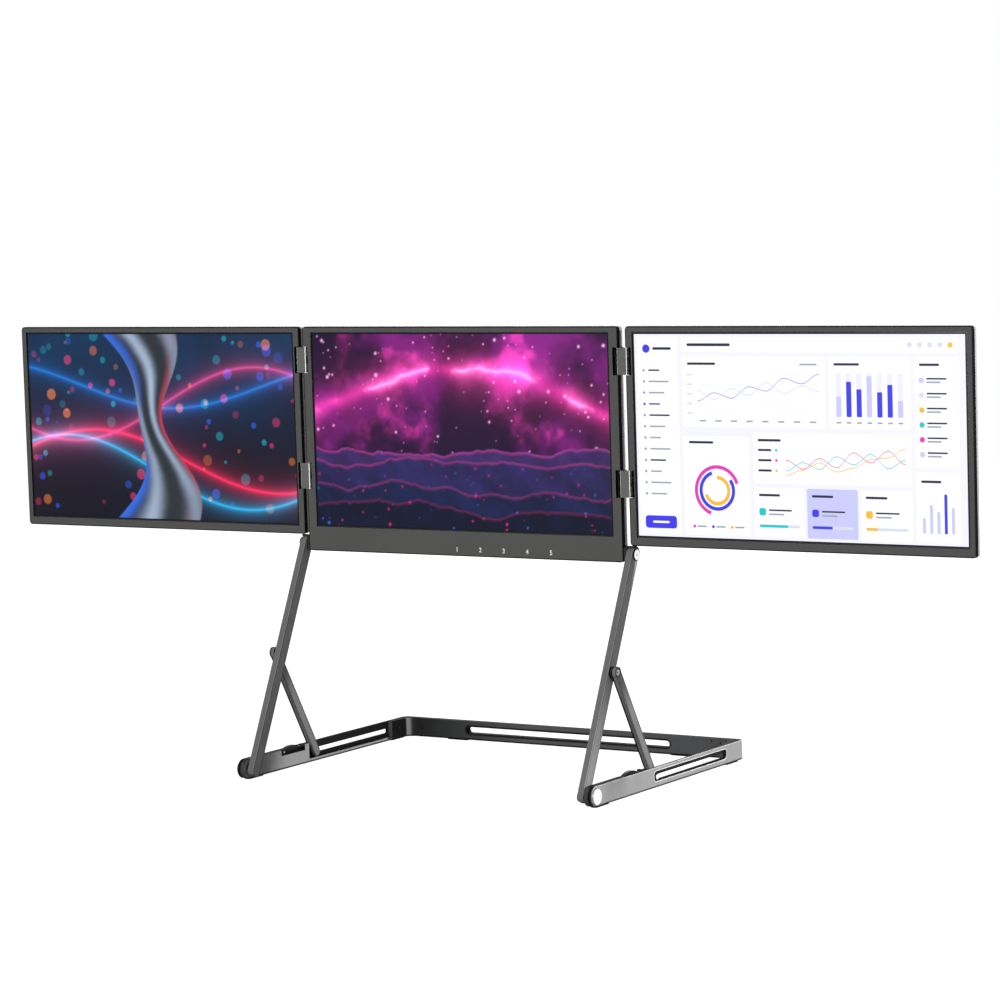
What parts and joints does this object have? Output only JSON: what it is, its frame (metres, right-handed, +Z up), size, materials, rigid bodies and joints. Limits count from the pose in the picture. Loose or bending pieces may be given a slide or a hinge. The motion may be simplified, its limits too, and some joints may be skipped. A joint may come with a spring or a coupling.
{
  "type": "laptop screen extender",
  "caption": "Folding portable monitor set: a centre screen on a flat-folding stand, with a side screen hinged to each edge by link blocks.",
  "frame": {"origin": "on the desk, under the middle of the whole object", "axes": "+X to the viewer's right, +Y away from the viewer, +Z up"},
  "size_m": [1.0962, 0.2993, 0.4434],
  "materials": {
    "rail_paint": "satin",
    "leg_paint": "satin",
    "shell_metal": "fine bead-blasted",
    "bezel_plastic": "fine matt grain",
    "screen": "smooth",
    "backlight": "matt",
    "board": "satin",
    "bright_steel": "polished",
    "dark_steel": "satin",
    "socket_steel": "satin",
    "rubber": "matt",
    "lever_plastic": "satin"
  },
  "bodies": {
    "stand": {"side_rail_right": "rail_paint", "side_rail_left": "rail_paint", "rear_rail": "leg_paint", "corner_screws": "dark_steel", "rubber_feet": "rubber", "front_pins": "bright_steel", "front_washers": "dark_steel", "lever_pins": "bright_steel"},
    "right_leg": {"leg_right": "leg_paint", "strut_pivot_right": "bright_steel", "strut_washer_right": "dark_steel"},
    "left_leg": {"leg_left": "leg_paint", "strut_pivot_left": "bright_steel", "strut_washer_left": "dark_steel"},
    "right_strut": {"strut_right": "leg_paint", "foot_pin_right": "bright_steel"},
    "left_strut": {"strut_left": "leg_paint", "foot_pin_left": "bright_steel"},
    "right_lever": {"release_lever_right": "lever_plastic"},
    "left_lever": {"release_lever_left": "lever_plastic"},
    "centre_panel": {"centre_front_frame": "bezel_plastic", "centre_rear_shell": "shell_metal", "centre_lcd_panel": "screen", "centre_backlight": "backlight", "centre_driver_board": "board", "port_sockets": "socket_steel", "centre_hinge_ears": "dark_steel", "centre_hinge_pins": "bright_steel", "tilt_brackets": "dark_steel", "bracket_screws": "dark_steel", "top_pins": "bright_steel"},
    "right_link": {"right_hinge_blocks": "bezel_plastic"},
    "left_link": {"left_hinge_blocks": "bezel_plastic"},
    "right_panel": {"right_front_frame": "bezel_plastic", "right_rear_shell": "shell_metal", "right_lcd_panel": "screen", "right_backlight": "backlight", "right_driver_board": "board", "right_hinge_ears": "dark_steel", "right_hinge_pins": "bright_steel"},
    "left_panel": {"left_front_frame": "bezel_plastic", "left_rear_shell": "shell_metal", "left_lcd_panel": "screen", "left_backlight": "backlight", "left_driver_board": "board", "left_hinge_ears": "dark_steel", "left_hinge_pins": "bright_steel"}
  },
  "joints": [
    {"name": "leg_fold", "type": "hinge", "parent": "stand", "child": "right_leg", "pos_m": [0.1882, -0.13997, 0.0107], "axis": [-1, 0, 0], "range_deg": [0, 61]},
    {"name": "left_leg_fold", "type": "hinge", "parent": "stand", "child": "left_leg", "pos_m": [-0.192, -0.13997, 0.0107], "axis": [-1, 0, 0], "range_deg": [0, 61]},
    {"name": "right_strut_swing", "type": "hinge", "parent": "right_leg", "child": "right_strut", "pos_m": [0.1961, -0.08807, 0.12], "axis": [1, 0, 0], "range_deg": [0, 118]},
    {"name": "left_strut_swing", "type": "hinge", "parent": "left_leg", "child": "left_strut", "pos_m": [-0.1999, -0.08807, 0.12], "axis": [1, 0, 0], "range_deg": [0, 118]},
    {"name": "panel_tilt", "type": "hinge", "parent": "right_leg", "child": "centre_panel", "pos_m": [0.1882, -0.03779, 0.22587], "axis": [1, 0, 0], "range_deg": [-30, 15]},
    {"name": "right_link_turn", "type": "hinge", "parent": "centre_panel", "child": "right_link", "pos_m": [0.1819, -0.04026, 0.35178], "axis": [0, 0, 1], "range_deg": [-90, 10]},
    {"name": "right_panel_turn", "type": "hinge", "parent": "right_link", "child": "right_panel", "pos_m": [0.1883, -0.04026, 0.35178], "axis": [0, 0, 1], "range_deg": [-90, 10]},
    {"name": "left_link_turn", "type": "hinge", "parent": "centre_panel", "child": "left_link", "pos_m": [-0.1838, -0.04026, 0.35178], "axis": [0, 0, 1], "range_deg": [-10, 90]},
    {"name": "left_panel_turn", "type": "hinge", "parent": "left_link", "child": "left_panel", "pos_m": [-0.1902, -0.04026, 0.35178], "axis": [0, 0, 1], "range_deg": [-10, 90]},
    {"name": "right_lever_press", "type": "hinge", "parent": "stand", "child": "right_lever", "pos_m": [0.19585, -0.08078, 0.018], "axis": [-1, 0, 0], "range_deg": [0, 5], "stiffness_Nm_per_rad": 0.05, "springref_deg": -5.73},
    {"name": "left_lever_press", "type": "hinge", "parent": "stand", "child": "left_lever", "pos_m": [-0.19965, -0.08078, 0.018], "axis": [-1, 0, 0], "range_deg": [0, 5], "stiffness_Nm_per_rad": 0.05, "springref_deg": -5.73}
  ],
  "couplings": [
    {"joint": "left_leg_fold", "follows": "leg_fold", "ratio": 1},
    {"joint": "right_strut_swing", "follows": "leg_fold", "ratio": 1.919},
    {"joint": "left_strut_swing", "follows": "leg_fold", "ratio": 1.919}
  ]
}
